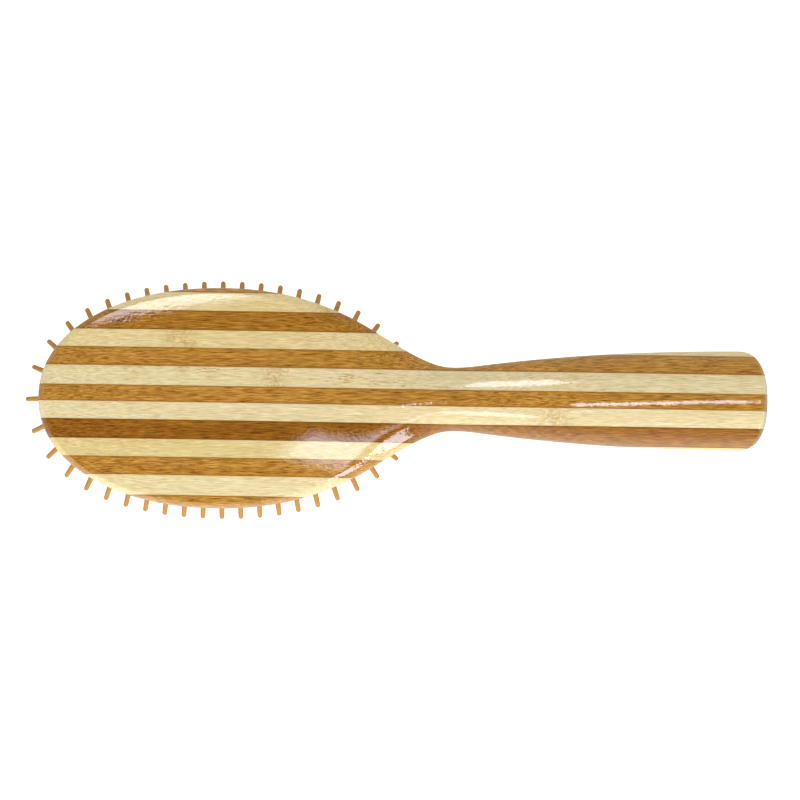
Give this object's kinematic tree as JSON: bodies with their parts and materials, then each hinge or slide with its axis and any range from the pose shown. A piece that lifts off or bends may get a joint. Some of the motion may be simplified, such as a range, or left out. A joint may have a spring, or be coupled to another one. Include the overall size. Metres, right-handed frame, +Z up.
{
  "type": "paddle brush",
  "caption": "Oval cushion hairbrush carved from striped laminated bamboo, with round-tipped bamboo pins splayed from a domed rubber pad.",
  "frame": {"origin": "under the middle of the whole brush's box, at the height of the lowest pin tips, as it lies pins down", "axes": "+X from the head to the end of the handle, +Y across the brush, +Z up, out of the plain back"},
  "size_m": [0.2443, 0.0786, 0.0412],
  "materials": {
    "bamboo_dark": "carbonised bamboo under gloss lacquer",
    "bamboo_light": "natural bamboo under gloss lacquer",
    "cushion_rubber": "matte moulded rubber",
    "liner_felt": "pressed felt",
    "pin_bamboo": "polished turned bamboo"
  },
  "bodies": {
    "board": {"strip_01_dark": "bamboo_dark", "strip_02_light": "bamboo_light", "strip_03_dark": "bamboo_dark", "strip_04_light": "bamboo_light", "strip_05_dark": "bamboo_dark", "strip_06_light": "bamboo_light", "strip_07_dark": "bamboo_dark", "strip_08_light": "bamboo_light", "strip_09_dark": "bamboo_dark", "strip_10_light": "bamboo_light", "strip_11_dark": "bamboo_dark", "strip_12_light": "bamboo_light", "strip_13_dark": "bamboo_dark", "rubber_cushion": "cushion_rubber", "pocket_felt": "liner_felt"},
    "outer_ring": {"pins_outer_ring": "pin_bamboo"},
    "second_ring": {"pins_second_ring": "pin_bamboo"},
    "third_ring": {"pins_third_ring": "pin_bamboo"},
    "fourth_ring": {"pins_fourth_ring": "pin_bamboo"},
    "centre_row": {"pins_centre_row": "pin_bamboo"}
  },
  "joints": [
    {"name": "cushion_press", "type": "slide", "parent": "board", "child": "centre_row", "axis": [0, 0, 1], "range_m": [0, 0.004], "stiffness_N_per_m": 900, "deforming": ["rubber_cushion"]},
    {"name": "fourth_ring_press", "type": "slide", "parent": "board", "child": "fourth_ring", "axis": [0, 0, 1], "range_m": [0, 0.00391], "stiffness_N_per_m": 1300},
    {"name": "third_ring_press", "type": "slide", "parent": "board", "child": "third_ring", "axis": [0, 0, 1], "range_m": [0, 0.00352], "stiffness_N_per_m": 1800},
    {"name": "second_ring_press", "type": "slide", "parent": "board", "child": "second_ring", "axis": [0, 0, 1], "range_m": [0, 0.0027], "stiffness_N_per_m": 2500},
    {"name": "outer_ring_press", "type": "slide", "parent": "board", "child": "outer_ring", "axis": [0, 0, 1], "range_m": [0, 0.00133], "stiffness_N_per_m": 4000}
  ],
  "couplings": [
    {"joint": "outer_ring_press", "follows": "cushion_press", "ratio": 0.33202},
    {"joint": "second_ring_press", "follows": "cushion_press", "ratio": 0.67373},
    {"joint": "third_ring_press", "follows": "cushion_press", "ratio": 0.87906},
    {"joint": "fourth_ring_press", "follows": "cushion_press", "ratio": 0.97619}
  ]
}
